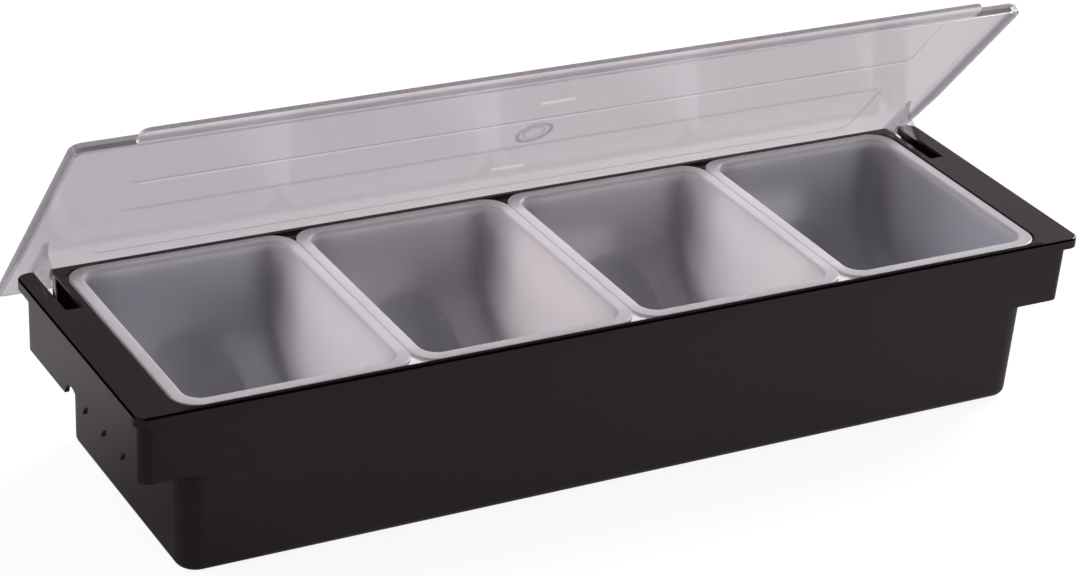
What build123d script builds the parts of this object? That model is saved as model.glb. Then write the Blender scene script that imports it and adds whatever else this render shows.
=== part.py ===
from build123d import *
import math
import os

# Bar garnish tray: a moulded base with four lift-out inserts and a clear lid on two hinge arms.
# X runs along the tray, Y from its front to its back and Z up. The origin is the middle of the underside.
# All lengths are in millimetres and all angles in degrees.

# Overrun of a cut past the face that it opens
overrun = 1.0

# Base, outer form
flange_length = 495.0
flange_depth = 146.2
base_height = 86.0
flange_corner = 6.0
flange_edge_round = 0.9
lip_drop = 5.0
flange_plate = 2.6
side_overhang = 3.5
end_overhang = 3.3
draft = 1.5

# Base, ears at the two ends, hollow and open below
ear_drop = 35.0
ear_reach = 23.3
ear_corner = 5.0
ear_wall = 2.2

# Base, well that holds the inserts
wall = 2.6
floor_plate = 3.0
well_corner = 10.0
well_foot_round = 4.5
well_inner_round = 3.0
ledge_plate = 2.6

# Base, finger scallops along the lower edge of each ear's end wall
scallop_radius = 8.4
scallop_sink = 1.5
scallop_pitch = 21.8
scallop_count = 4
scallop_front_margin = 7.4

# Inserts
insert_count = 4
end_band = 21.3
side_band = 3.2
insert_gap = 0.3
rim_plate = 2.0
rim_corner = 12.0
rim_edge_round = 0.7
rim_width = 4.8
seat_clearance = 0.3
seat_end_clearance = 1.2
insert_height = 65.5
insert_wall = 1.6
insert_draft = 3.5
insert_scoop_radius = 43.5
insert_corner = 9.6
insert_lip_round = 1.8

# Lid
lid_end_reach = 0.8
lid_front_margin = 2.0
lid_plate = 2.0
lid_skirt = 5.0
lid_skirt_wall = 2.2
lid_skirt_flare = 4.0
lid_corner = 5.5
lid_edge_round = 1.0
lid_back_reach = 8.4
lid_seat_gap = 0.2
lid_open_angle = 50.5
skirt_fade_length = 62.0
skirt_fade_drop = 2.6

# Finger tab along the lid's free edge
tab_end_margin = 28.8
tab_reach = 11.0
tab_plate = 2.0
tab_corner = 4.0

# Two shallow panels and the ring of the gate mark in the lid's outer face
panel_end_margin = 39.3
panel_depth = 0.4
panel_corner = 5.0
panel_gap = 28.0
panel_width_share = 0.295
gate_place_share = 0.592
gate_ring_outer = 9.7
gate_ring_inner = 5.3
gate_ring_depth = 0.3

# Hinge: arms on the lid, with pins that turn in pockets in the ears
pivot_inset = 11.9
pivot_drop = 27.0
slot_inset = 8.9
slot_width = 8.2
slot_length = 41.3
cheek = 2.4
pin_radius = 2.2
pin_clearance = 0.08
pin_grip = 2.0
pin_end_gap = 0.4
boss_radius = 4.5
boss_clearance = 0.4
arm_thickness = 2.6
arm_inset = 10.2
arm_front_gap = 0.5
arm_heel = 7.0
arm_root_flare = 5.4
arm_front_share = 0.92

# Places that follow from the sizes above
draft_slope = math.tan(math.radians(draft))
ear_bottom = base_height - ear_drop
ear_top_x = flange_length / 2 - end_overhang
ear_top_y = flange_depth / 2 - side_overhang
ear_foot_x = ear_top_x - ear_drop * draft_slope
ear_foot_y = ear_top_y - ear_drop * draft_slope
well_foot_x = flange_length / 2 - ear_reach - ear_bottom * draft_slope
well_foot_y = ear_top_y - base_height * draft_slope
insert_pitch = (flange_length - 2 * end_band) / insert_count
rim_depth = flange_depth - 2 * side_band
seat_length = insert_count * insert_pitch - insert_gap + 2 * seat_end_clearance
seat_depth = rim_depth + 2 * seat_clearance
seat_corner = rim_corner + seat_clearance
scallop_front = -ear_foot_y + scallop_front_margin + scallop_radius
slot_x = flange_length / 2 - slot_inset - slot_width / 2
slot_front = flange_depth / 2 - slot_length
pivot_y = flange_depth / 2 - pivot_inset
pivot_z = base_height - pivot_drop
pocket_floor = pivot_z - boss_radius - boss_clearance
lid_length = flange_length + 2 * lid_end_reach
lid_depth = flange_depth + lid_back_reach - lid_front_margin
tab_length = lid_length - 2 * tab_end_margin
panel_length = lid_length - 2 * panel_end_margin
panel_width = lid_depth * panel_width_share
gate_place = lid_depth * gate_place_share

# Frame of the lid as it stands open. Its X runs along the tray, its Y from the hinge edge to the free edge
# and its Z from the outer face towards the inserts.
lean = math.radians(90 - lid_open_angle)
lid_up = Vector(0, -math.sin(lean), math.cos(lean))
lid_in = Vector(0, -math.cos(lean), -math.sin(lean))
pivot_s = lid_back_reach + pivot_inset
pivot_t = lid_skirt + lid_seat_gap + pivot_drop
lid_origin = Vector(0, pivot_y, pivot_z) - lid_up * pivot_s - lid_in * pivot_t
lid_plane = Plane(origin=lid_origin, x_dir=(1, 0, 0), z_dir=lid_in)
arm_plane = Plane(origin=lid_origin, x_dir=lid_up, z_dir=(1, 0, 0))
arm_x = flange_length / 2 - arm_inset - arm_thickness / 2
arm_front = lid_back_reach + slot_length - arm_front_gap


def write(builder, name):
    """Label a finished piece and write it under its own name."""
    builder.part.label = name
    export_step(builder.part, f"parts/{name}.step")


def rounded_block(level, size_x, size_y, corner, height, taper, mode=Mode.ADD):
    """A block with upright rounded corners that stands on the given level and widens upwards by its taper."""
    with BuildSketch(Plane.XY.offset(level)) as plan:
        RectangleRounded(size_x, size_y, corner)
    extrude(plan.sketch, amount=height, taper=-taper, mode=mode)


def hinge_pocket(side):
    """The box in one ear that takes a hinge arm: two cheeks, a web, a floor and the holes for the pins."""
    inner_x = slot_x - slot_width / 2
    outer_x = slot_x + slot_width / 2
    box_in = inner_x - cheek
    box_out = ear_foot_x - ear_wall / 2
    box_front = slot_front - cheek
    box_back = ear_foot_y - ear_wall / 2
    box_floor = pocket_floor - cheek
    with BuildSketch(Plane.XY.offset(box_floor)) as box:
        with Locations((side * (box_in + box_out) / 2, (box_front + box_back) / 2)):
            Rectangle(box_out - box_in, box_back - box_front)
    extrude(box.sketch, amount=base_height - flange_plate / 2 - box_floor)
    slot_back = flange_depth / 2 + overrun
    with BuildSketch(Plane.XY.offset(pocket_floor)) as slot:
        with Locations((side * slot_x, (slot_front + slot_back) / 2)):
            Rectangle(slot_width, slot_back - slot_front)
    extrude(slot.sketch, amount=base_height + overrun - pocket_floor, mode=Mode.SUBTRACT)
    hole_start = box_in - overrun
    hole_end = outer_x + pin_grip + pin_end_gap
    with BuildSketch(Plane.YZ.offset(side * hole_start)) as hole:
        with Locations((pivot_y, pivot_z)):
            Circle(pin_radius + pin_clearance)
    extrude(hole.sketch, amount=side * (hole_end - hole_start), mode=Mode.SUBTRACT)


def finger_scallops(side):
    """The row of half-round scallops in the lower edge of one ear's end wall."""
    with BuildSketch(Plane.YZ.offset(side * (ear_top_x + overrun))) as row:
        for number in range(scallop_count):
            with Locations((scallop_front + number * scallop_pitch, ear_bottom - scallop_sink)):
                Circle(scallop_radius)
    reach = ear_top_x - ear_foot_x + ear_wall + 2 * overrun
    extrude(row.sketch, amount=-side * reach, mode=Mode.SUBTRACT)


def build_base():
    """The black base: flange and ears, well for the inserts, seat for their rims and hinge pockets."""
    with BuildPart() as tray_base:
        rounded_block(ear_bottom, 2 * ear_foot_x, 2 * ear_foot_y, ear_corner, ear_drop, draft)
        rounded_block(base_height - lip_drop, flange_length, flange_depth, flange_corner, lip_drop, 0)
        fillet(tray_base.edges().group_by(Axis.Z)[-1], flange_edge_round)
        hollow_x = 2 * (ear_foot_x - ear_wall)
        hollow_y = 2 * (ear_foot_y - ear_wall)
        hollow_corner = ear_corner - ear_wall
        hollow_height = ear_drop - flange_plate
        rounded_block(ear_bottom, hollow_x, hollow_y, hollow_corner, hollow_height, draft, Mode.SUBTRACT)
        rounded_block(0, 2 * well_foot_x, 2 * well_foot_y, well_corner, base_height, draft)
        ledge_bottom = base_height - rim_plate - ledge_plate
        ledge_x = seat_length + 2 * wall
        rounded_block(ledge_bottom, ledge_x, 2 * ear_top_y, seat_corner, ledge_plate, 0)
        fillet(tray_base.faces().sort_by(Axis.Z)[0].edges(), well_foot_round)
        floor_rise = floor_plate * draft_slope
        cavity_x = 2 * (well_foot_x + floor_rise - wall)
        cavity_y = 2 * (well_foot_y + floor_rise - wall)
        cavity_corner = well_corner - wall
        cavity_height = base_height - floor_plate
        rounded_block(floor_plate, cavity_x, cavity_y, cavity_corner, cavity_height, draft, Mode.SUBTRACT)
        fillet(tray_base.edges().filter_by_position(Axis.Z, floor_plate, floor_plate), well_inner_round)
        seat_level = base_height - rim_plate
        rounded_block(seat_level, seat_length, seat_depth, seat_corner, rim_plate + overrun, 0, Mode.SUBTRACT)
        for side in (-1, 1):
            hinge_pocket(side)
            finger_scallops(side)
    write(tray_base, "tray_base")


def scooped_tub(centre_x, thinned):
    """The solid form of a tub, drawn in on all sides by one thickness.

    Seen from its end, its front and back run down in large scoop rounds. Its two side walls are flat."""
    slope = math.tan(math.radians(insert_draft))
    floor_level = base_height - insert_height + thinned
    depth = base_height - floor_level
    top_x = (insert_pitch - insert_gap) / 2 - rim_width - thinned
    top_y = rim_depth / 2 - rim_width - thinned
    floor_x = top_x - depth * slope
    floor_y = top_y - depth * slope
    with BuildPart() as tub:
        with BuildSketch(Plane.YZ.offset(centre_x)) as scoop:
            Polygon(
                (-top_y, base_height),
                (-floor_y, floor_level),
                (floor_y, floor_level),
                (top_y, base_height),
                align=None,
            )
            fillet(scoop.vertices().group_by(Axis.Y)[0], insert_scoop_radius - thinned)
        extrude(amount=top_x, both=True)
        with BuildSketch(Plane.XZ):
            with Locations((centre_x, 0)):
                Polygon(
                    (-top_x, base_height),
                    (-floor_x, floor_level),
                    (floor_x, floor_level),
                    (top_x, base_height),
                    align=None,
                )
        extrude(amount=rim_depth, both=True, mode=Mode.INTERSECT)
        top = tub.faces().sort_by(Axis.Z)[-1].edges()
        ends = tub.faces().sort_by(Axis.X)
        side_edges = (ends[0].edges() + ends[-1].edges()).filter_by(lambda edge: edge not in top)
        fillet(side_edges, insert_corner - thinned)
    return tub.part


def build_insert(number):
    """One white insert: a scooped tub that hangs by its rim in the seat of the base."""
    centre_x = (number - (insert_count + 1) / 2) * insert_pitch
    outside = scooped_tub(centre_x, 0)
    inside = scooped_tub(centre_x, insert_wall)
    with BuildPart() as insert:
        add(outside)
        with BuildSketch(Plane.XY.offset(base_height - rim_plate)):
            with Locations((centre_x, 0)):
                RectangleRounded(insert_pitch - insert_gap, rim_depth, rim_corner)
        extrude(amount=rim_plate)
        fillet(insert.edges().group_by(Axis.Z)[-1], rim_edge_round)
        add(inside, mode=Mode.SUBTRACT)
        mouth = insert.faces().sort_by(Axis.Z)[-1].inner_wires()[0]
        fillet(mouth.edges(), insert_lip_round)
    write(insert, f"insert_{number}")


def lid_panel(start, end):
    """A shallow panel pressed into the lid's outer face between two places along it."""
    with BuildSketch(lid_plane) as panel:
        with Locations((0, (start + end) / 2)):
            RectangleRounded(panel_length, end - start, panel_corner)
    extrude(panel.sketch, amount=panel_depth, mode=Mode.SUBTRACT)


def hinge_arm(side):
    """One hinge arm: a flat web square to the lid, flared at its root, with a boss and two pins at its foot."""
    near_face = side * arm_x - arm_thickness / 2
    with BuildSketch(arm_plane.offset(near_face)) as web:
        with BuildLine():
            Polyline(
                (arm_heel, lid_plate / 2),
                (arm_front + arm_root_flare, lid_plate / 2),
                (arm_front + arm_root_flare, lid_plate),
                (arm_front, lid_skirt),
                (arm_front, pivot_t * arm_front_share),
                (pivot_s, pivot_t + boss_radius),
                (pivot_s - boss_radius, pivot_t),
                close=True,
            )
        make_face()
        with Locations((pivot_s, pivot_t)):
            Circle(boss_radius)
    extrude(web.sketch, amount=arm_thickness)
    pin_in = slot_x - slot_width / 2 - pin_grip
    pin_out = slot_x + slot_width / 2 + pin_grip
    with BuildSketch(arm_plane.offset(side * pin_in)) as pin:
        with Locations((pivot_s, pivot_t)):
            Circle(pin_radius)
    extrude(pin.sketch, amount=side * (pin_out - pin_in))


def build_lid():
    """The clear lid: plate with a skirt on three sides, finger tab, panels, gate mark and two hinge arms."""
    outward = Axis(lid_origin, lid_in)
    with BuildPart() as lid:
        with BuildSketch(lid_plane):
            with Locations((0, lid_depth / 2)):
                RectangleRounded(lid_length, lid_depth, lid_corner)
        extrude(amount=lid_skirt, taper=-lid_skirt_flare)
        fillet(lid.faces().sort_by(outward)[0].edges(), lid_edge_round)
        hollow_length = lid_depth - lid_skirt_wall + lid_corner + overrun
        with BuildSketch(lid_plane.offset(lid_plate)):
            with Locations((0, lid_depth - lid_skirt_wall - hollow_length / 2)):
                RectangleRounded(lid_length - 2 * lid_skirt_wall, hollow_length, lid_corner - lid_skirt_wall)
        extrude(amount=lid_skirt - lid_plate + overrun, taper=-lid_skirt_flare, mode=Mode.SUBTRACT)
        with BuildSketch(arm_plane.offset(-lid_length)):
            with BuildLine():
                Polyline(
                    (-lid_skirt, skirt_fade_drop),
                    (0, skirt_fade_drop),
                    (skirt_fade_length, lid_skirt),
                    (skirt_fade_length, lid_skirt + overrun),
                    (-lid_skirt, lid_skirt + overrun),
                    close=True,
                )
            make_face()
        extrude(amount=2 * lid_length, mode=Mode.SUBTRACT)
        tab_root = lid_depth - lid_skirt_wall / 2
        tab_tip = lid_depth + tab_reach
        with BuildSketch(lid_plane.offset(lid_skirt - tab_plate)) as tab:
            with Locations((0, (tab_root + tab_tip) / 2)):
                Rectangle(tab_length, tab_tip - tab_root)
            fillet(tab.vertices().group_by(Axis.Y)[-1], tab_corner)
        extrude(amount=tab_plate)
        for direction in (-1, 1):
            near = gate_place + direction * panel_gap / 2
            far = near + direction * panel_width
            lid_panel(min(near, far), max(near, far))
        with BuildSketch(lid_plane):
            with Locations((0, gate_place)):
                Circle(gate_ring_outer)
                Circle(gate_ring_inner, mode=Mode.SUBTRACT)
        extrude(amount=gate_ring_depth, mode=Mode.SUBTRACT)
        for side in (-1, 1):
            hinge_arm(side)
    write(lid, "lid")


os.makedirs("parts", exist_ok=True)
build_base()
for insert_number in range(1, insert_count + 1):
    build_insert(insert_number)
build_lid()
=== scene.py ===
"""Looks of the bar garnish tray.

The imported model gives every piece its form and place. This script gives each piece its finish and sets the
floor, the light and the camera.
"""

import logging
from dataclasses import dataclass, field
from enum import Enum

import bpy
import numpy as np
from mathutils import Matrix, Vector

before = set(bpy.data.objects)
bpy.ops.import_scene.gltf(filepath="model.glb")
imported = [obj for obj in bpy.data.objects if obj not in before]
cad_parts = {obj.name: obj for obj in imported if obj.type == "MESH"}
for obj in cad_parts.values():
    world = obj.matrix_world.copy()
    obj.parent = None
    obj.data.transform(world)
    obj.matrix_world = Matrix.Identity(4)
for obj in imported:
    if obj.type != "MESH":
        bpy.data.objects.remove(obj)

LOG = logging.getLogger("garnish_tray")

RGB = tuple[float, float, float]
Point = tuple[float, float, float]
Span = tuple[float, float]
Socket = bpy.types.NodeSocket
Number = float | Socket
Blendable = float | RGB | Socket

# Sockets of Blender's Mix node: the two that go in and the one that comes out
NUMBER_SOCKETS = (2, 3, 0)
COLOUR_SOCKETS = (6, 7, 2)

# Detail of the noises
FLOW_DETAIL = 3.0
GRAIN_DETAIL = 2.0
TONE_DETAIL = 2.0
MARK_DETAIL = 1.0

# Bend and soft edge of the fine marks, and the solid share of a line's half width
MARK_BEND_SCALE = 6.0
MARK_BEND_REACH = (0.02, 0.02, 0.02)
MARK_EDGE = 0.05
LINE_CORE = 0.4


class Effect(Enum):
    """The shader node groups that more than one finish uses."""

    MOULD_SKIN = "mould_skin"
    LEVEL_BAND = "level_band"
    FINE_MARKS = "fine_marks"


def new_group(effect: Effect, inputs: dict[str, float], outputs: list[str]) -> bpy.types.ShaderNodeTree:
    """Start an empty shader node group.

    Args:
        effect: The effect that names the group.
        inputs: Each number that the group takes, with its usual value.
        outputs: Each number that it puts out.

    Returns:
        The group, with its sockets and its input and output nodes.
    """
    group = bpy.data.node_groups.new(effect.value, "ShaderNodeTree")
    for name, value in inputs.items():
        socket = group.interface.new_socket(name, in_out="INPUT", socket_type="NodeSocketFloat")
        socket.default_value = value
    for name in outputs:
        group.interface.new_socket(name, in_out="OUTPUT", socket_type="NodeSocketFloat")
    group.nodes.new("NodeGroupInput").name = "in"
    group.nodes.new("NodeGroupOutput").name = "out"
    return group


def mould_skin_group() -> bpy.types.ShaderNodeTree:
    """Build the skin that moulded plastic takes from its mould.

    A slow noise stands for the flow of the plastic and a fine one for the grain of the steel.

    Returns:
        A group that puts out a height for Bump and a roughness.
    """
    group = new_group(
        Effect.MOULD_SKIN,
        {"Flow Scale": 30.0, "Grain Scale": 2500.0, "Grain Share": 0.3, "Rough Low": 0.2, "Rough High": 0.3},
        ["Height", "Roughness"],
    )
    nodes, links = group.nodes, group.links
    place = nodes.new("ShaderNodeTexCoord")
    flow = nodes.new("ShaderNodeTexNoise")
    grain = nodes.new("ShaderNodeTexNoise")
    flow.inputs["Detail"].default_value = FLOW_DETAIL
    grain.inputs["Detail"].default_value = GRAIN_DETAIL
    mix = nodes.new("ShaderNodeMix")
    first, second, result = NUMBER_SOCKETS
    spread = nodes.new("ShaderNodeMapRange")
    links.new(place.outputs["Object"], flow.inputs["Vector"])
    links.new(place.outputs["Object"], grain.inputs["Vector"])
    links.new(nodes["in"].outputs["Flow Scale"], flow.inputs["Scale"])
    links.new(nodes["in"].outputs["Grain Scale"], grain.inputs["Scale"])
    links.new(nodes["in"].outputs["Grain Share"], mix.inputs[0])
    links.new(flow.outputs["Fac"], mix.inputs[first])
    links.new(grain.outputs["Fac"], mix.inputs[second])
    links.new(mix.outputs[result], nodes["out"].inputs["Height"])
    links.new(flow.outputs["Fac"], spread.inputs["Value"])
    links.new(nodes["in"].outputs["Rough Low"], spread.inputs["To Min"])
    links.new(nodes["in"].outputs["Rough High"], spread.inputs["To Max"])
    links.new(spread.outputs["Result"], nodes["out"].inputs["Roughness"])
    return group


def level_band_group() -> bpy.types.ShaderNodeTree:
    """Build the mask that tells a piece's top from its sides by height.

    Returns:
        A group that puts out 0 below the band, 1 above it and a blend within.
    """
    group = new_group(Effect.LEVEL_BAND, {"Low": 0.08, "High": 0.081}, ["Mask"])
    nodes, links = group.nodes, group.links
    place = nodes.new("ShaderNodeTexCoord")
    split = nodes.new("ShaderNodeSeparateXYZ")
    ramp = nodes.new("ShaderNodeMapRange")
    ramp.interpolation_type = "SMOOTHSTEP"
    links.new(place.outputs["Object"], split.inputs["Vector"])
    links.new(split.outputs["Z"], ramp.inputs["Value"])
    links.new(nodes["in"].outputs["Low"], ramp.inputs["From Min"])
    links.new(nodes["in"].outputs["High"], ramp.inputs["From Max"])
    links.new(ramp.outputs["Result"], nodes["out"].inputs["Mask"])
    return group


def fine_marks_group() -> bpy.types.ShaderNodeTree:
    """Build the short fine marks that handling leaves on smooth plastic.

    Returns:
        A group that puts out a mask: 1 on a mark and 0 elsewhere.
    """
    group = new_group(Effect.FINE_MARKS, {"Scale": 60.0, "Stretch": 14.0, "Threshold": 0.68}, ["Mask"])
    nodes, links = group.nodes, group.links
    place = nodes.new("ShaderNodeTexCoord")
    bend = nodes.new("ShaderNodeTexNoise")
    bend.inputs["Scale"].default_value = MARK_BEND_SCALE
    warp = nodes.new("ShaderNodeVectorMath")
    warp.operation = "MULTIPLY_ADD"
    warp.inputs[1].default_value = MARK_BEND_REACH
    stretch = nodes.new("ShaderNodeCombineXYZ")
    stretch.inputs["Y"].default_value = 1.0
    squeeze = nodes.new("ShaderNodeVectorMath")
    squeeze.operation = "MULTIPLY"
    noise = nodes.new("ShaderNodeTexNoise")
    noise.inputs["Detail"].default_value = MARK_DETAIL
    cut = nodes.new("ShaderNodeMapRange")
    margin = nodes.new("ShaderNodeMath")
    margin.inputs[1].default_value = MARK_EDGE
    links.new(place.outputs["Object"], bend.inputs["Vector"])
    links.new(bend.outputs["Color"], warp.inputs[0])
    links.new(place.outputs["Object"], warp.inputs[2])
    links.new(nodes["in"].outputs["Stretch"], stretch.inputs["X"])
    links.new(nodes["in"].outputs["Stretch"], stretch.inputs["Z"])
    links.new(warp.outputs["Vector"], squeeze.inputs[0])
    links.new(stretch.outputs["Vector"], squeeze.inputs[1])
    links.new(squeeze.outputs["Vector"], noise.inputs["Vector"])
    links.new(nodes["in"].outputs["Scale"], noise.inputs["Scale"])
    links.new(noise.outputs["Fac"], cut.inputs["Value"])
    links.new(nodes["in"].outputs["Threshold"], cut.inputs["From Min"])
    links.new(nodes["in"].outputs["Threshold"], margin.inputs[0])
    links.new(margin.outputs["Value"], cut.inputs["From Max"])
    links.new(cut.outputs["Result"], nodes["out"].inputs["Mask"])
    return group


@dataclass
class Shading:
    """A material under construction: its nodes, with short ways to add and join them."""

    name: str

    def __post_init__(self) -> None:
        """Make the material with one Principled shader."""
        self.material = bpy.data.materials.new(self.name)
        self.material.use_nodes = True
        self.tree = self.material.node_tree
        self.shader = self.tree.nodes["Principled BSDF"]
        self.output = self.tree.nodes["Material Output"]

    def set(self, name: str, value: float | RGB) -> None:
        """Set a constant on the shader's own socket.

        Args:
            name: The socket's name.
            value: A number or a colour.
        """
        self.shader.inputs[name].default_value = (*value, 1) if isinstance(value, tuple) else value

    def join(self, start: Socket, end: Socket) -> None:
        """Link two sockets.

        Args:
            start: The output that gives the value.
            end: The input that takes it.
        """
        self.tree.links.new(start, end)

    def feed(self, value: Socket, name: str) -> None:
        """Link an output to the shader's own socket.

        Args:
            value: The output.
            name: The socket's name.
        """
        self.join(value, self.shader.inputs[name])

    def effect(self, effect: Effect, **values: float) -> bpy.types.Node:
        """Place a shared effect.

        Args:
            effect: The effect.
            values: Its numbers, with _ for each space in a name.

        Returns:
            The group node.
        """
        node = self.tree.nodes.new("ShaderNodeGroup")
        node.node_tree = bpy.data.node_groups[effect.value]
        for key, value in values.items():
            node.inputs[key.replace("_", " ")].default_value = value
        return node

    def level_band(self, span: Span) -> Socket:
        """Place the shared mask that tells a piece's top from its sides.

        Args:
            span: The heights between which the mask rises.

        Returns:
            A mask: 0 below the span and 1 above it.
        """
        low, high = span
        return self.effect(Effect.LEVEL_BAND, Low=low, High=high).outputs["Mask"]

    def blend(self, mask: Socket, low: Blendable, high: Blendable) -> Socket:
        """Blend two numbers or two colours by a mask.

        Args:
            mask: Where the second one holds.
            low: The number, colour or output at mask 0.
            high: The number, colour or output at mask 1.

        Returns:
            The blended output.
        """
        node = self.tree.nodes.new("ShaderNodeMix")
        first, second, result = NUMBER_SOCKETS
        if any(isinstance(value, tuple) or getattr(value, "type", "") == "RGBA" for value in (low, high)):
            node.data_type = "RGBA"
            first, second, result = COLOUR_SOCKETS
        for index, value in ((first, low), (second, high)):
            if isinstance(value, Socket):
                self.join(value, node.inputs[index])
            else:
                node.inputs[index].default_value = (*value, 1) if isinstance(value, tuple) else value
        self.join(mask, node.inputs[0])
        return node.outputs[result]

    def noise(self, scale: float) -> Socket:
        """Add a noise over the object.

        Args:
            scale: Its scale, in cycles for each metre.

        Returns:
            The noise's value.
        """
        place = self.tree.nodes.new("ShaderNodeTexCoord")
        node = self.tree.nodes.new("ShaderNodeTexNoise")
        node.inputs["Scale"].default_value = scale
        node.inputs["Detail"].default_value = TONE_DETAIL
        self.join(place.outputs["Object"], node.inputs["Vector"])
        return node.outputs["Fac"]

    def axes(self) -> tuple[Socket, Socket, Socket]:
        """Split the place on the object into its three lengths.

        Returns:
            The outputs of X, Y and Z in metres.
        """
        place = self.tree.nodes.new("ShaderNodeTexCoord")
        split = self.tree.nodes.new("ShaderNodeSeparateXYZ")
        self.join(place.outputs["Object"], split.inputs["Vector"])
        return split.outputs["X"], split.outputs["Y"], split.outputs["Z"]

    def sum_up(self, operation: str, *values: Number) -> Socket:
        """Work out one number from others.

        Args:
            operation: The name of the sum in Blender's Math node.
            values: The numbers or outputs that go in.

        Returns:
            The result.
        """
        node = self.tree.nodes.new("ShaderNodeMath")
        node.operation = operation
        for index, value in enumerate(values):
            if isinstance(value, Socket):
                self.join(value, node.inputs[index])
            else:
                node.inputs[index].default_value = value
        return node.outputs["Value"]

    def chain(self, operation: str, first: Socket, *others: Number) -> Socket:
        """Work one sum through a row of numbers, two at a time.

        Args:
            operation: The name of the sum in Blender's Math node.
            first: The output that comes first.
            others: The numbers or outputs that follow.

        Returns:
            The result.
        """
        result = first
        for other in others:
            result = self.sum_up(operation, result, other)
        return result

    def away_from(self, value: Socket, place: float = 0.0) -> Socket:
        """Measure how far a number is from a value.

        Args:
            value: The number.
            place: The value.

        Returns:
            The distance, never below 0.
        """
        return self.sum_up("ABSOLUTE", self.sum_up("SUBTRACT", value, place))

    def radius(self, across: Socket, up: Socket) -> Socket:
        """Measure the distance from a centre.

        Args:
            across: The length across from the centre.
            up: The length up from it.

        Returns:
            The distance.
        """
        squares = [self.sum_up("MULTIPLY", length, length) for length in (across, up)]
        return self.sum_up("SQRT", self.sum_up("ADD", *squares))

    def ramp(self, value: Socket, span: Span, low: float, high: float) -> Socket:
        """Let a number go smoothly from one value to another.

        Args:
            value: What it follows.
            span: Where the change starts and ends.
            low: The number before the span.
            high: The number after it.

        Returns:
            The number.
        """
        start, end = span
        node = self.tree.nodes.new("ShaderNodeMapRange")
        node.interpolation_type = "SMOOTHSTEP"
        for name, number in (("From Min", start), ("From Max", end), ("To Min", low), ("To Max", high)):
            node.inputs[name].default_value = number
        self.join(value, node.inputs["Value"])
        return node.outputs["Result"]

    def after(self, value: Socket, span: Span) -> Socket:
        """Mark where a number lies after a span.

        Args:
            value: The number.
            span: Where the mask rises.

        Returns:
            A mask: 0 before the span and 1 after it.
        """
        return self.ramp(value, span, 0.0, 1.0)

    def before(self, value: Socket, span: Span) -> Socket:
        """Mark where a number lies before a span.

        Args:
            value: The number.
            span: Where the mask falls.

        Returns:
            A mask: 1 before the span and 0 after it.
        """
        return self.ramp(value, span, 1.0, 0.0)

    def line(self, value: Socket, place: float, half_width: float) -> Socket:
        """Mark the places where a number is near a value.

        Args:
            value: The number.
            place: The value.
            half_width: How far the mark reaches on both sides.

        Returns:
            A mask: 1 on the line, with soft edges.
        """
        return self.before(self.away_from(value, place), (LINE_CORE * half_width, half_width))

    def mix_shader(self, factor: Socket, first: Socket, second: Socket) -> Socket:
        """Mix two shaders.

        Args:
            factor: The share of the second one.
            first: The first shader's output.
            second: The second shader's output.

        Returns:
            The mixed output.
        """
        node = self.tree.nodes.new("ShaderNodeMixShader")
        self.join(factor, node.inputs[0])
        self.join(first, node.inputs[1])
        self.join(second, node.inputs[2])
        return node.outputs["Shader"]

    def thin_shader(self, kind: str, colour: RGB) -> Socket:
        """Add a Translucent or a Transparent shader.

        Args:
            kind: The node's type.
            colour: Its colour.

        Returns:
            The shader's output.
        """
        node = self.tree.nodes.new(kind)
        node.inputs["Color"].default_value = (*colour, 1)
        return node.outputs["BSDF"]

    def finish(self, surface: Socket) -> bpy.types.Material:
        """Join the surface to the output.

        Args:
            surface: The shader output that the material shows.

        Returns:
            The material.
        """
        self.join(surface, self.output.inputs["Surface"])
        return self.material


@dataclass(frozen=True)
class Skin:
    """How one finish sets the mould skin effect."""

    flow_scale: float
    grain_scale: float
    grain_share: float
    rough_low: float
    rough_high: float
    bump_strength: float
    bump_depth: float

    def add_to(self, shading: Shading) -> Socket:
        """Place the effect in a material and join its bump to the shader.

        Args:
            shading: The material.

        Returns:
            The effect's roughness.
        """
        skin = shading.effect(
            Effect.MOULD_SKIN,
            Flow_Scale=self.flow_scale,
            Grain_Scale=self.grain_scale,
            Grain_Share=self.grain_share,
            Rough_Low=self.rough_low,
            Rough_High=self.rough_high,
        )
        bump = shading.tree.nodes.new("ShaderNodeBump")
        bump.inputs["Strength"].default_value = self.bump_strength
        bump.inputs["Distance"].default_value = self.bump_depth
        shading.join(skin.outputs["Height"], bump.inputs["Height"])
        shading.feed(bump.outputs["Normal"], "Normal")
        return skin.outputs["Roughness"]


@dataclass(frozen=True)
class Marks:
    """How one finish sets the fine marks effect."""

    scale: float
    stretch: float
    threshold: float

    def add_to(self, shading: Shading) -> Socket:
        """Place the effect in a material.

        Args:
            shading: The material.

        Returns:
            A mask: 1 on a mark.
        """
        marks = shading.effect(
            Effect.FINE_MARKS, Scale=self.scale, Stretch=self.stretch, Threshold=self.threshold
        )
        return marks.outputs["Mask"]


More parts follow.
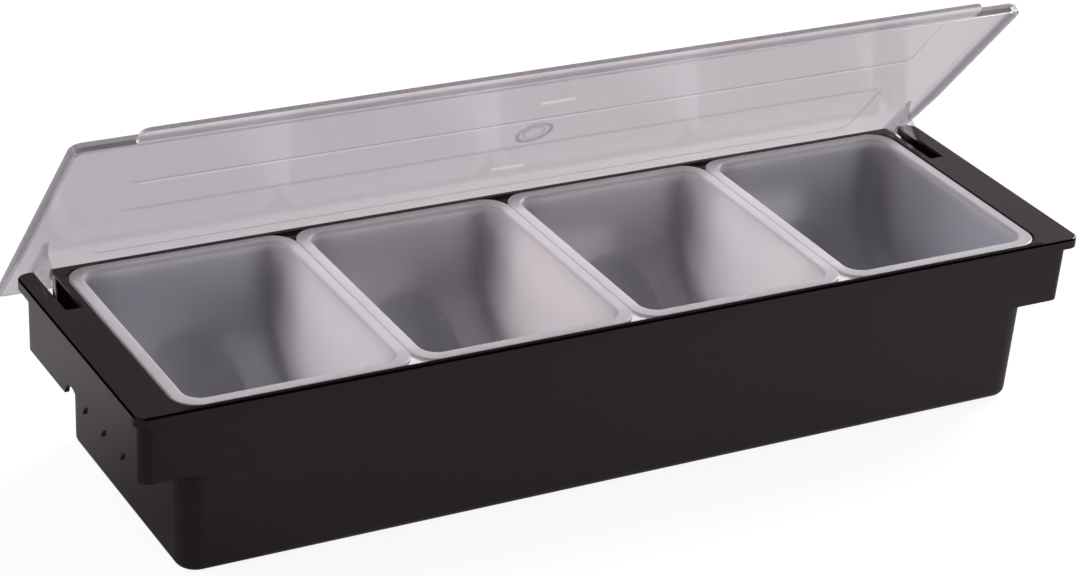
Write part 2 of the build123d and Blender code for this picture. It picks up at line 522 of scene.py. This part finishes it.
@dataclass(frozen=True)
class BlackMoulding:
    """Black ABS: a polished flange over finely textured sides.

    The flange is darker on the left, a painted shade. The strip before the inserts, the flange's outer edges
    and the inside of the two hinge pockets are the darkest, also painted shade.
    """

    name: str = "black_moulding"
    dark: RGB = (0.0165, 0.0090, 0.0110)
    light: RGB = (0.0250, 0.0150, 0.0175)
    mark_colour: RGB = (0.0380, 0.0270, 0.0300)
    top_colour: RGB = (0.0205, 0.0095, 0.0118)
    left_top_painted_shade: RGB = (0.0105, 0.0048, 0.0060)
    strip_painted_shade: RGB = (0.0035, 0.0025, 0.0030)
    edge_painted_shade: RGB = (0.0015, 0.0010, 0.0012)
    pocket_painted_shade: RGB = (0.0060, 0.0045, 0.0050)
    tint: RGB = (1.0, 0.86, 0.90)
    specular: float = 0.5
    top_specular: float = 0.19
    strip_specular: float = 0.05
    edge_specular: float = 0.0
    pocket_specular: float = 0.0
    polish_rough: float = 0.12
    tone_scale: float = 9.0
    length: Span = (-0.2475, 0.2475)
    top_height: Span = (0.0848, 0.0854)
    strip_front: Span = (-0.0701, -0.0697)
    strip_end: Span = (0.224, 0.228)
    edge_front: Span = (-0.0724, -0.0720)
    edge_end: Span = (0.2464, 0.2468)
    pocket_middle: float = 0.2345
    pocket_half: Span = (0.0044, 0.0049)
    pocket_front: Span = (0.0312, 0.0316)
    pocket_height: Span = (0.0845, 0.0848)
    skin: Skin = Skin(
        flow_scale=18.0,
        grain_scale=1600.0,
        grain_share=0.45,
        rough_low=0.30,
        rough_high=0.40,
        bump_strength=0.10,
        bump_depth=0.0004,
    )
    marks: Marks = Marks(scale=45.0, stretch=16.0, threshold=0.70)

    def pocket_mask(self, shading: Shading) -> Socket:
        """Mark the inside of the two hinge pockets, which takes hardly any light and gets painted shade.

        Args:
            shading: The material.

        Returns:
            A mask: 1 on the walls of a pocket.
        """
        x, y, z = shading.axes()
        away = shading.away_from(shading.away_from(x), self.pocket_middle)
        inside = shading.before(away, self.pocket_half)
        behind = shading.after(y, self.pocket_front)
        below = shading.before(z, self.pocket_height)
        return shading.chain("MULTIPLY", inside, behind, below)

    def strip_mask(self, shading: Shading) -> Socket:
        """Mark the strip of the flange between the inserts and its front edge, where shade is painted.

        Args:
            shading: The material.

        Returns:
            A mask: 1 on the strip.
        """
        x, y, _ = shading.axes()
        ahead = shading.before(y, self.strip_front)
        between = shading.before(shading.away_from(x), self.strip_end)
        return shading.sum_up("MULTIPLY", ahead, between)

    def edge_mask(self, shading: Shading) -> Socket:
        """Mark the outer edge of the flange at the front and at both ends, where shade is painted.

        Args:
            shading: The material.

        Returns:
            A mask: 1 on the edge.
        """
        x, y, _ = shading.axes()
        ahead = shading.before(y, self.edge_front)
        beside = shading.after(shading.away_from(x), self.edge_end)
        return shading.sum_up("MAXIMUM", ahead, beside)

    def make(self) -> bpy.types.Material:
        """Build the material.

        Returns:
            The material.
        """
        shading = Shading(self.name)
        shading.set("Specular Tint", self.tint)
        x, _, z = shading.axes()
        rough = self.skin.add_to(shading)
        marks = self.marks.add_to(shading)
        top = shading.level_band(self.top_height)
        strip = self.strip_mask(shading)
        edge = self.edge_mask(shading)
        pocket = self.pocket_mask(shading)
        side = shading.blend(shading.noise(self.tone_scale), self.dark, self.light)
        side = shading.blend(marks, side, self.mark_colour)
        # Painted shade: the flange top is darker on the left.
        crown = shading.blend(shading.after(x, self.length), self.left_top_painted_shade, self.top_colour)
        # Painted shade: the strip before the inserts is almost black.
        crown = shading.blend(strip, crown, self.strip_painted_shade)
        # Painted shade: the flange's outer edges are almost black.
        crown = shading.blend(edge, crown, self.edge_painted_shade)
        # Painted shade: the hinge pockets are almost black.
        colour = shading.blend(pocket, shading.blend(top, side, crown), self.pocket_painted_shade)
        shading.feed(colour, "Base Color")
        shading.feed(shading.blend(top, rough, self.polish_rough), "Roughness")
        crown_level = shading.blend(strip, self.top_specular, self.strip_specular)
        crown_level = shading.blend(edge, crown_level, self.edge_specular)
        level = shading.blend(shading.after(z, self.top_height), self.specular, crown_level)
        shading.feed(shading.blend(pocket, level, self.pocket_specular), "Specular IOR Level")
        return shading.finish(shading.shader.outputs["BSDF"])


@dataclass(frozen=True)
class MilkyWhite:
    """Milky white polypropylene: thin walls pass most of the light, the rim passes less.

    The back wall passes less of it towards its rim, and so do the outer side walls towards the front. A
    round darker disc lies on the back of each scooped floor. Painted shade darkens the outer inserts, the
    back corners and the outer and back rims, and painted light brightens the rims between inserts. A weak
    painted glow stands for the light that the plastic spreads inside its walls.
    """

    name: str = "milky_white"
    wall_colour: RGB = (0.94, 0.93, 0.98)
    outer_painted_shade: RGB = (0.88, 0.89, 1.0)
    low_painted_shade: RGB = (0.80, 0.81, 1.0)
    cloud_colour: RGB = (0.87, 0.86, 0.915)
    corner_painted_shade: RGB = (0.74, 0.73, 0.77)
    mark_colour: RGB = (0.72, 0.72, 0.79)
    scuff_colour: RGB = (0.97, 0.96, 1.0)
    outer_rim_painted_shade: RGB = (0.60, 0.57, 0.605)
    inner_rim_painted_light: RGB = (0.735, 0.703, 0.735)
    back_rim_painted_shade: RGB = (0.41, 0.39, 0.405)
    pass_colour: RGB = (0.960, 0.950, 0.943)
    corner_pass_painted_shade: RGB = (0.86, 0.85, 0.855)
    painted_glow_colour: RGB = (0.98, 0.955, 1.0)
    wall_pass: float = 0.78
    left_pass: float = 0.62
    upper_pass: float = 0.58
    end_pass: float = 0.54
    rim_pass: float = 0.25
    back_rim_pass: float = 0.55
    left_glow: Span = (0.012, 0.056)
    floor_glow: Span = (0.022, 0.0)
    wall_glow: float = 0.036
    mark_glow: float = 0.35
    specular: float = 0.4
    scuff_rough: float = 0.06
    coat: float = 0.15
    coat_rough: float = 0.06
    cloud_scale: float = 24.0
    pitch: float = 0.1131
    outer_inserts: Span = (0.1101, 0.1161)
    end_wall: Span = (0.196, 0.212)
    end_front: Span = (-0.045, 0.030)
    back_wall: Span = (0.030, 0.052)
    corner: Span = (0.030, 0.046)
    upper_height: Span = (0.040, 0.083)
    low_height: Span = (0.030, 0.060)
    left_wall: Span = (-0.0438, -0.0430)
    left_part: Span = (-0.034, 0.010)
    rim_height: Span = (0.0838, 0.0855)
    rim_pass_height: Span = (0.0844, 0.0855)
    front_rim: Span = (-0.062, -0.052)
    end_rim: Span = (0.190, 0.205)
    back_rim: Span = (0.050, 0.065)
    mark_height: float = 0.026
    mark_radius: Span = (0.0220, 0.0235)
    mark_back: Span = (0.0, 0.005)
    glow_length: Span = (-0.170, 0.170)
    glow_left: Span = (-0.006, 0.014)
    glow_left_height: Span = (0.058, 0.072)
    glow_left_back: Span = (0.010, 0.032)
    glow_floor: Span = (0.0, 0.030)
    glow_floor_end: Span = (0.038, 0.042)
    glow_floor_height: Span = (0.036, 0.048)
    glow_wall: Span = (0.0440, 0.0462)
    glow_wall_height: Span = (0.038, 0.060)
    glow_wall_last: Span = (0.115, 0.135)
    skin: Skin = Skin(
        flow_scale=25.0,
        grain_scale=1800.0,
        grain_share=0.35,
        rough_low=0.14,
        rough_high=0.22,
        bump_strength=0.08,
        bump_depth=0.0003,
    )
    scuffs: Marks = Marks(scale=38.0, stretch=11.0, threshold=0.66)

    def across_insert(self, shading: Shading) -> Socket:
        """Measure the length across from the middle of the insert that the place is in.

        Args:
            shading: The material.

        Returns:
            The length in metres, below 0 on the left.
        """
        half = self.pitch / 2
        return shading.sum_up("WRAP", shading.sum_up("ADD", shading.axes()[0], half), half, -half)

    def back_masks(self, shading: Shading) -> tuple[Socket, Socket]:
        """Tell the flat of the back wall from its corners.

        Args:
            shading: The material.

        Returns:
            A mask that is 1 at the top of the flat back wall, and one that is 1 in the back corners, where
            shade is painted.
        """
        _, y, z = shading.axes()
        in_corner = shading.after(shading.away_from(self.across_insert(shading)), self.corner)
        at_back = shading.after(y, self.back_wall)
        corner = shading.sum_up("MULTIPLY", in_corner, at_back)
        flat = shading.sum_up("SUBTRACT", at_back, corner)
        return shading.sum_up("MULTIPLY", flat, shading.after(z, self.upper_height)), corner

    def left_mask(self, shading: Shading) -> Socket:
        """Mark the left part of each insert's floor and back wall, but not its left wall.

        Args:
            shading: The material.

        Returns:
            A mask: 1 near the left wall.
        """
        across = self.across_insert(shading)
        clear = shading.after(across, self.left_wall)
        return shading.sum_up("MULTIPLY", clear, shading.before(across, self.left_part))

    def end_mask(self, shading: Shading) -> Socket:
        """Mark the outer side walls of the first and the last insert, more so towards the front.

        Args:
            shading: The material.

        Returns:
            A mask: 1 at the front of these walls.
        """
        x, y, _ = shading.axes()
        outer = shading.after(shading.away_from(x), self.end_wall)
        return shading.sum_up("MULTIPLY", outer, shading.before(y, self.end_front))

    def floor_mark(self, shading: Shading) -> Socket:
        """Place a round darker disc, seen along Y, once for each insert.

        Args:
            shading: The material.

        Returns:
            A mask: 1 on the mark.
        """
        _, y, z = shading.axes()
        rise = shading.sum_up("SUBTRACT", z, self.mark_height)
        radius = shading.radius(self.across_insert(shading), rise)
        disc = shading.before(radius, self.mark_radius)
        return shading.sum_up("MULTIPLY", disc, shading.after(y, self.mark_back))

    def glow(self, shading: Shading) -> Socket:
        """Add up the painted glow that stands for the light which the milky plastic spreads inside its
        walls.

        It shows low on the left of each back wall, and it grows from the first insert to the last. It also
        shows on the right of the floors, where it fades from the first insert to the last, and low on the
        right walls of all inserts but the last.

        Args:
            shading: The material.

        Returns:
            The strength of the glow.
        """
        x, y, z = shading.axes()
        across = self.across_insert(shading)
        left = shading.chain(
            "MULTIPLY",
            shading.before(across, self.glow_left),
            shading.after(across, self.left_wall),
            shading.before(z, self.glow_left_height),
            shading.after(y, self.glow_left_back),
            shading.ramp(x, self.glow_length, *self.left_glow),
        )
        floor = shading.chain(
            "MULTIPLY",
            shading.after(across, self.glow_floor),
            shading.before(across, self.glow_floor_end),
            shading.before(z, self.glow_floor_height),
            shading.ramp(x, self.glow_length, *self.floor_glow),
        )
        wall = shading.chain(
            "MULTIPLY",
            shading.after(across, self.glow_wall),
            shading.before(z, self.glow_wall_height),
            shading.ramp(x, self.glow_wall_last, self.wall_glow, 0.0),
        )
        return shading.sum_up("ADD", left, shading.sum_up("MAXIMUM", floor, wall))

    def colour(self, shading: Shading, scuffs: Socket, mark: Socket, corner: Socket) -> Socket:
        """Put the colour together: walls, clouding, marks and rims, with painted shade and painted light.

        Args:
            shading: The material.
            scuffs: The mask of the fine marks.
            mark: The mask of the round marks on the floors.
            corner: The mask of the back corners.

        Returns:
            The colour.
        """
        x, y, z = shading.axes()
        beside = shading.away_from(x)
        # Painted shade: the first and last inserts are darker and bluer, most of all low down.
        last = shading.blend(shading.before(z, self.low_height), self.outer_painted_shade, self.low_painted_shade)
        wall = shading.blend(shading.after(beside, self.outer_inserts), self.wall_colour, last)
        wall = shading.blend(shading.noise(self.cloud_scale), wall, self.cloud_colour)
        # A round darker disc on the back of each floor.
        wall = shading.blend(mark, wall, self.mark_colour)
        # Painted shade: the back corners are darker.
        wall = shading.blend(corner, wall, self.corner_painted_shade)
        wall = shading.blend(scuffs, wall, self.scuff_colour)
        outside = shading.sum_up(
            "MAXIMUM", shading.after(beside, self.end_rim), shading.before(y, self.front_rim)
        )
        # Painted light and shade: the rims between inserts are lighter, the outer rims darker and the back
        # rims darkest.
        rim = shading.blend(outside, self.inner_rim_painted_light, self.outer_rim_painted_shade)
        rim = shading.blend(shading.after(y, self.back_rim), rim, self.back_rim_painted_shade)
        return shading.blend(shading.level_band(self.rim_height), wall, rim)

    def passed_share(self, shading: Shading, upper: Socket) -> Socket:
        """Work out the share of the light that the plastic passes.

        Args:
            shading: The material.
            upper: The mask of the top of the flat back wall.

        Returns:
            The share.
        """
        _, y, z = shading.axes()
        wall = shading.blend(self.left_mask(shading), self.wall_pass, self.left_pass)
        wall = shading.blend(upper, wall, self.upper_pass)
        wall = shading.blend(self.end_mask(shading), wall, self.end_pass)
        rim = shading.blend(shading.after(y, self.back_rim), self.rim_pass, self.back_rim_pass)
        return shading.blend(shading.after(z, self.rim_pass_height), wall, rim)

    def make(self) -> bpy.types.Material:
        """Build the material.

        Returns:
            The material.
        """
        shading = Shading(self.name)
        shading.set("Specular IOR Level", self.specular)
        shading.set("Coat Weight", self.coat)
        shading.set("Coat Roughness", self.coat_rough)
        shading.set("Emission Color", self.painted_glow_colour)
        scuffs = self.scuffs.add_to(shading)
        mark = self.floor_mark(shading)
        upper, corner = self.back_masks(shading)
        rough = self.skin.add_to(shading)
        shading.feed(shading.blend(scuffs, rough, self.scuff_rough), "Roughness")
        shading.feed(self.colour(shading, scuffs, mark, corner), "Base Color")
        share = self.passed_share(shading, upper)
        kept = shading.sum_up("SUBTRACT", 1.0, share)
        glow = shading.sum_up("MULTIPLY", self.glow(shading), shading.blend(mark, 1.0, self.mark_glow))
        # Painted glow: emission that stands for light passed through the walls.
        shading.feed(shading.sum_up("DIVIDE", glow, kept), "Emission Strength")
        through = shading.tree.nodes.new("ShaderNodeBsdfTranslucent")
        # Painted shade: the back corners pass darker light.
        passed = shading.blend(corner, self.pass_colour, self.corner_pass_painted_shade)
        shading.join(passed, through.inputs["Color"])
        surface = shading.mix_shader(share, shading.shader.outputs["BSDF"], through.outputs["BSDF"])
        return shading.finish(surface)


@dataclass(frozen=True)
class HazyClear:
    """Clear plastic of the lid: its plate is greyed and slightly hazy, its arms are clear.

    Places on the lid are told by the length across, X, the length up the plate from its hinge edge and the
    depth below its outer face. The plate is darker on the left, a painted shade. Edges, creases, the rings
    of the gate and the lower panel edge are darker, a painted shade, and so are the ends of the arms in
    their pockets. Two plain dashes and the tab are lighter, and so is the upper panel edge, a painted
    highlight.
    """

    name: str = "hazy_clear"
    left_painted_shade: RGB = (0.395, 0.368, 0.39)
    right_painted_light: RGB = (0.48, 0.45, 0.465)
    edge_painted_shade: RGB = (0.13, 0.115, 0.13)
    dash_and_highlight_colour: RGB = (0.80, 0.76, 0.78)
    arm_colour: RGB = (0.88, 0.86, 0.88)
    pocket_painted_shade: RGB = (0.06, 0.055, 0.06)
    haze_colour: RGB = (0.80, 0.75, 0.80)
    clear_tint: RGB = (0.94, 0.93, 0.94)
    shadow_tint: RGB = (0.72, 0.70, 0.72)
    ior: float = 1.33
    haze_share: float = 0.10
    arm_rough: float = 0.03
    arm_clear: float = 0.80
    pocket_clear: float = 0.96
    inward: Point = (0.0, -0.7716, -0.6361)
    upward: Point = (0.0, -0.6361, 0.7716)
    outer_face: float = -0.11695
    hinge_edge: float = -0.013705
    length: Span = (-0.2484, 0.2484)
    arm_depth: Span = (0.0055, 0.0080)
    pocket_height: Span = (0.082, 0.088)
    side_crease: float = 0.2462
    top_crease: float = 0.1504
    crease_half: float = 0.0007
    side_edge: Span = (0.2474, 0.2480)
    tab: Span = (0.1530, 0.1534)
    tab_share: float = 0.45
    tab_edge: Span = (0.1630, 0.1634)
    tab_edge_share: float = 0.2
    gate_place: float = 0.0904
    outer_ring: float = 0.0087
    outer_ring_half: float = 0.0014
    outer_ring_share: float = 0.7
    inner_ring: float = 0.0053
    inner_ring_half: float = 0.0010
    inner_ring_share: float = 0.4
    lower_panel: float = 0.0763
    lower_panel_share: float = 0.5
    upper_panel: float = 0.1043
    upper_panel_share: float = 0.6
    panel_half: float = 0.0009
    panel_end: Span = (0.204, 0.206)
    dash_places: tuple[float, float] = (0.1224, 0.0538)
    dash_half: float = 0.0019
    dash_end: Span = (0.0087, 0.0097)
    dash_share: float = 0.6
    skin: Skin = Skin(
        flow_scale=12.0,
        grain_scale=1200.0,
        grain_share=0.25,
        rough_low=0.12,
        rough_high=0.19,
        bump_strength=0.05,
        bump_depth=0.0003,
    )

    def length_along(self, shading: Shading, way: Point, start: float) -> Socket:
        """Measure the place along one direction.

        Args:
            shading: The material.
            way: The direction.
            start: The place along it that counts as 0.

        Returns:
            The length in metres.
        """
        place = shading.tree.nodes.new("ShaderNodeTexCoord")
        along = shading.tree.nodes.new("ShaderNodeVectorMath")
        along.operation = "DOT_PRODUCT"
        along.inputs[1].default_value = way
        shading.join(place.outputs["Object"], along.inputs[0])
        return shading.sum_up("SUBTRACT", along.outputs["Value"], start)

    def panel_edge(self, shading: Shading, across: Socket, up: Socket, place: float, share: float) -> Socket:
        """Mark the long edge of a pressed panel.

        Args:
            shading: The material.
            across: The length from the middle of the lid.
            up: The length up the plate.
            place: The edge's place up the plate.
            share: How strong the mark is.

        Returns:
            A mask: the share on the edge.
        """
        edge = shading.line(up, place, self.panel_half)
        return shading.chain("MULTIPLY", edge, shading.before(across, self.panel_end), share)

    def painted_shade_lines(self, shading: Shading, across: Socket, up: Socket) -> Socket:
        """Mark the painted shade lines: the edges, the creases behind the skirt, the rings of the gate and
        the lower panel edge.

        Args:
            shading: The material.
            across: The length from the middle of the lid.
            up: The length up the plate.

        Returns:
            A mask: above 0 where the lid is darker.
        """
        radius = shading.radius(across, shading.sum_up("SUBTRACT", up, self.gate_place))
        outer_ring = shading.line(radius, self.outer_ring, self.outer_ring_half)
        inner_ring = shading.line(radius, self.inner_ring, self.inner_ring_half)
        return shading.chain(
            "MAXIMUM",
            shading.line(across, self.side_crease, self.crease_half),
            shading.after(across, self.side_edge),
            shading.line(up, self.top_crease, self.crease_half),
            shading.ramp(up, self.tab_edge, 0.0, self.tab_edge_share),
            shading.sum_up("MULTIPLY", outer_ring, self.outer_ring_share),
            shading.sum_up("MULTIPLY", inner_ring, self.inner_ring_share),
            self.panel_edge(shading, across, up, self.lower_panel, self.lower_panel_share),
        )

    def dashes_and_highlight(self, shading: Shading, across: Socket, up: Socket) -> Socket:
        """Mark the two plain dashes, the finger tab and the upper panel edge, which is a painted highlight.

        Args:
            shading: The material.
            across: The length from the middle of the lid.
            up: The length up the plate.

        Returns:
            A mask: above 0 where the lid is lighter.
        """
        rows = [shading.line(up, place, self.dash_half) for place in self.dash_places]
        ends = shading.ramp(across, self.dash_end, self.dash_share, 0.0)
        return shading.chain(
            "MAXIMUM",
            shading.sum_up("MULTIPLY", shading.sum_up("MAXIMUM", *rows), ends),
            self.panel_edge(shading, across, up, self.upper_panel, self.upper_panel_share),
            shading.ramp(up, self.tab, 0.0, self.tab_share),
        )

    def make(self) -> bpy.types.Material:
        """Build the material.

        Returns:
            The material.
        """
        shading = Shading(self.name)
        shading.set("IOR", self.ior)
        shading.set("Transmission Weight", 1.0)
        x, _, z = shading.axes()
        across = shading.away_from(x)
        up = self.length_along(shading, self.upward, self.hinge_edge)
        depth = self.length_along(shading, self.inward, self.outer_face)
        arm = shading.after(depth, self.arm_depth)
        above = shading.after(z, self.pocket_height)
        # Painted shade: the plate is darker on the left.
        plate = shading.blend(shading.after(x, self.length), self.left_painted_shade, self.right_painted_light)
        # Painted shade along the edges, creases, gate rings and lower panel edge.
        plate = shading.blend(self.painted_shade_lines(shading, across, up), plate, self.edge_painted_shade)
        # Painted highlight on the upper panel edge; the dashes and the tab are lighter too.
        plate = shading.blend(self.dashes_and_highlight(shading, across, up), plate, self.dash_and_highlight_colour)
        # Painted shade: the ends of the arms in their pockets are almost black.
        clear = shading.blend(above, self.pocket_painted_shade, self.arm_colour)
        shading.feed(shading.blend(arm, plate, clear), "Base Color")
        shading.feed(shading.blend(arm, self.skin.add_to(shading), self.arm_rough), "Roughness")
        haze = shading.thin_shader("ShaderNodeBsdfTranslucent", self.haze_colour)
        body = shading.shader.outputs["BSDF"]
        body = shading.mix_shader(shading.blend(arm, self.haze_share, 0.0), body, haze)
        clear_arm = shading.thin_shader("ShaderNodeBsdfTransparent", self.clear_tint)
        clear_share = shading.blend(above, self.pocket_clear, self.arm_clear)
        body = shading.mix_shader(shading.sum_up("MULTIPLY", arm, clear_share), body, clear_arm)
        see_through = shading.thin_shader("ShaderNodeBsdfTransparent", self.shadow_tint)
        path = shading.tree.nodes.new("ShaderNodeLightPath")
        return shading.finish(shading.mix_shader(path.outputs["Is Shadow Ray"], body, see_through))


@dataclass
class Base:
    """The black base."""

    finish: BlackMoulding = field(default_factory=BlackMoulding)

    def dress(self) -> None:
        """Give the base its finish."""
        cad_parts["tray_base"].material_slots[0].material = self.finish.make()
        LOG.info("tray_base dressed")


@dataclass
class Inserts:
    """The four white inserts."""

    finish: MilkyWhite = field(default_factory=MilkyWhite)

    def dress(self) -> None:
        """Give each insert its finish."""
        material = self.finish.make()
        for name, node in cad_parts.items():
            if name.startswith("insert_"):
                node.material_slots[0].material = material
                LOG.info("%s dressed", name)


@dataclass
class Lid:
    """The clear lid."""

    finish: HazyClear = field(default_factory=HazyClear)

    def dress(self) -> None:
        """Give the lid its finish."""
        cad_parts["lid"].material_slots[0].material = self.finish.make()
        LOG.info("lid dressed")


@dataclass(frozen=True)
class PaleFloor:
    """Plain pale floor: white to the camera apart from a soft shadow.

    In reflections it glows darker before the tray than behind it, a painted shade.
    """

    name: str = "pale_floor"
    colour: RGB = (0.93, 0.93, 0.93)
    rough: float = 0.9
    lit_share: float = 0.84
    lit_strength: float = 1.08
    near_glow: Span = (0.085, 0.28)
    right_glow: float = 0.09
    far_glow: float = 0.60
    near_span: Span = (-0.26, -0.14)
    right_span: Span = (-0.15, 0.35)
    far_span: Span = (-0.02, 0.16)

    def make(self) -> bpy.types.Material:
        """Build the material.

        Returns:
            The material.
        """
        shading = Shading(self.name)
        shading.set("Base Color", self.colour)
        shading.set("Roughness", self.rough)
        shading.set("Specular IOR Level", 0.0)
        path = shading.tree.nodes.new("ShaderNodeLightPath")
        passed = path.outputs["Is Transmission Ray"]
        seen = shading.sum_up("MAXIMUM", path.outputs["Is Camera Ray"], passed)
        lit = shading.tree.nodes.new("ShaderNodeEmission")
        lit.inputs["Strength"].default_value = self.lit_strength
        white = shading.mix_shader(
            shading.sum_up("MULTIPLY", seen, self.lit_share),
            shading.shader.outputs["BSDF"],
            lit.outputs["Emission"],
        )
        x, y, _ = shading.axes()
        # Painted shade in reflections: the floor's glow is darker before the tray.
        near = shading.sum_up(
            "ADD",
            shading.ramp(x, self.near_span, *self.near_glow),
            shading.ramp(x, self.right_span, 0.0, self.right_glow),
        )
        glow = shading.tree.nodes.new("ShaderNodeEmission")
        strength = shading.blend(shading.after(y, self.far_span), near, self.far_glow)
        shading.join(strength, glow.inputs["Strength"])
        mirrored = shading.sum_up("SUBTRACT", path.outputs["Is Glossy Ray"], passed)
        mirrored = shading.sum_up("MAXIMUM", mirrored, 0.0)
        return shading.finish(shading.mix_shader(mirrored, white, glow.outputs["Emission"]))


@dataclass(frozen=True)
class Lamp:
    """One soft square lamp that faces the tray, with its power in watts and its side in metres."""

    name: str
    power: float
    size: float
    place: Point

    def hang(self) -> None:
        """Hang the lamp in its place."""
        data = bpy.data.lights.new(self.name, "AREA")
        data.energy = self.power
        data.size = self.size
        lamp = bpy.data.objects.new(self.name, data)
        lamp.location = self.place
        lamp.rotation_euler = (-Vector(self.place)).to_track_quat("-Z", "Y").to_euler()
        bpy.context.scene.collection.objects.link(lamp)


@dataclass
class Studio:
    """Floor, light and camera."""

    floor: PaleFloor = field(default_factory=PaleFloor)
    floor_half: float = 6.0
    sky_strength: float = 0.35
    sky_glow: float = 0.60
    passed_glow: float = 0.70
    key: Lamp = Lamp("key", power=315.0, size=2.4, place=(4.0, 1.8, 2.6))
    side: Lamp = Lamp("side", power=15.0, size=1.0, place=(-1.8, 0.8, 1.2))
    lens: float = 106.3
    sensor: float = 36.0
    camera_place: Point = (-0.6970, -1.1576, 0.7451)
    camera_right: Point = (0.87284, -0.48292, 0.07013)
    camera_up: Point = (0.16459, 0.42663, 0.88931)
    shift: tuple[float, float] = (-0.0200, 0.01395)

    def lay_floor(self) -> None:
        """Lay a pale floor of two by two squares at z = 0, with its edges far out of view."""
        count = 3
        side = np.linspace(-self.floor_half, self.floor_half, count)
        x, y = np.meshgrid(side, side)
        points = np.column_stack([x.ravel(), y.ravel(), np.zeros(x.size)])
        corner = np.array([0, 1, count, count + 1])
        faces = np.column_stack([corner, corner + 1, corner + count + 1, corner + count])
        mesh = bpy.data.meshes.new("floor")
        mesh.from_pydata(points.tolist(), [], faces.tolist())
        floor = bpy.data.objects.new("floor", mesh)
        bpy.context.scene.collection.objects.link(floor)
        mesh.materials.append(self.floor.make())

    def light(self) -> None:
        """Light the room: an even sky that looks white to the camera, and two soft lamps."""
        world = bpy.data.worlds.new("studio")
        bpy.context.scene.world = world
        world.use_nodes = True
        tree = world.node_tree
        sky = tree.nodes["Background"]
        sky.inputs["Color"].default_value = (1, 1, 1, 1)
        path = tree.nodes.new("ShaderNodeLightPath")
        levels = {
            "Is Glossy Ray": self.sky_glow,
            "Is Transmission Ray": self.passed_glow,
            "Is Camera Ray": 1.0,
        }
        strength = self.sky_strength
        for kind, level in levels.items():
            step = tree.nodes.new("ShaderNodeMapRange")
            step.inputs["To Max"].default_value = level
            if isinstance(strength, float):
                step.inputs["To Min"].default_value = strength
            else:
                tree.links.new(strength, step.inputs["To Min"])
            tree.links.new(path.outputs[kind], step.inputs["Value"])
            strength = step.outputs["Result"]
        tree.links.new(strength, sky.inputs["Strength"])
        self.key.hang()
        self.side.hang()

    def place_camera(self) -> None:
        """Place the camera where the photo was taken from."""
        data = bpy.data.cameras.new("camera")
        data.sensor_width = self.sensor
        data.lens = self.lens
        data.shift_x, data.shift_y = self.shift
        camera = bpy.data.objects.new("camera", data)
        right, up = Vector(self.camera_right).normalized(), Vector(self.camera_up).normalized()
        turn = Matrix((right, up, right.cross(up))).transposed().to_4x4()
        camera.matrix_world = Matrix.Translation(self.camera_place) @ turn
        bpy.context.scene.collection.objects.link(camera)
        bpy.context.scene.camera = camera


def main() -> None:
    """Build the looks in order."""
    logging.basicConfig(level=logging.INFO, format="%(name)s: %(message)s")
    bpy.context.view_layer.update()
    mould_skin_group()
    level_band_group()
    fine_marks_group()
    Base().dress()
    Inserts().dress()
    Lid().dress()
    studio = Studio()
    studio.lay_floor()
    studio.light()
    studio.place_camera()
    bpy.context.scene.view_settings.view_transform = "Standard"
    LOG.info("sizes written")


if __name__ == "__main__":
    main()
